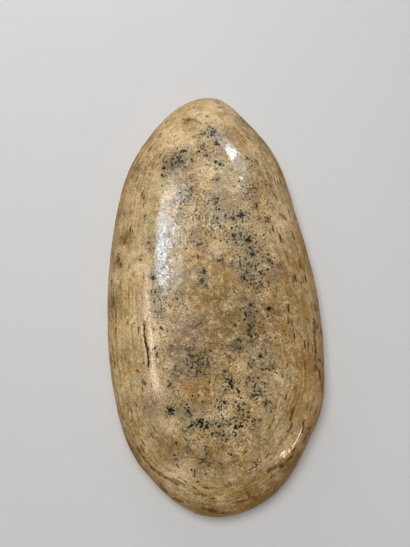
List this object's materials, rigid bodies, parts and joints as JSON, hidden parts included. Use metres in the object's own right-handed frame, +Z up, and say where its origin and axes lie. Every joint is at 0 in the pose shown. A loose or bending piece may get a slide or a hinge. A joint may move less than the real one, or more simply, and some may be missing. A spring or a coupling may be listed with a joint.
{
  "type": "polished dendritic limestone palm stone",
  "caption": "Long oval palm stone, domed on top and ground flat underneath, of buff limestone polished to show dark fern-like mineral dendrites.",
  "frame": {"origin": "middle of the stone's box, at the height of the flat base", "axes": "+Z up out of the domed face, +Y along the length towards the narrower end, +X across"},
  "size_m": [0.046, 0.0916, 0.016],
  "materials": {
    "limestone": "polished, semi-gloss over fine pits"
  },
  "bodies": {
    "root": {"palm_stone": "limestone"}
  },
  "joints": []
}
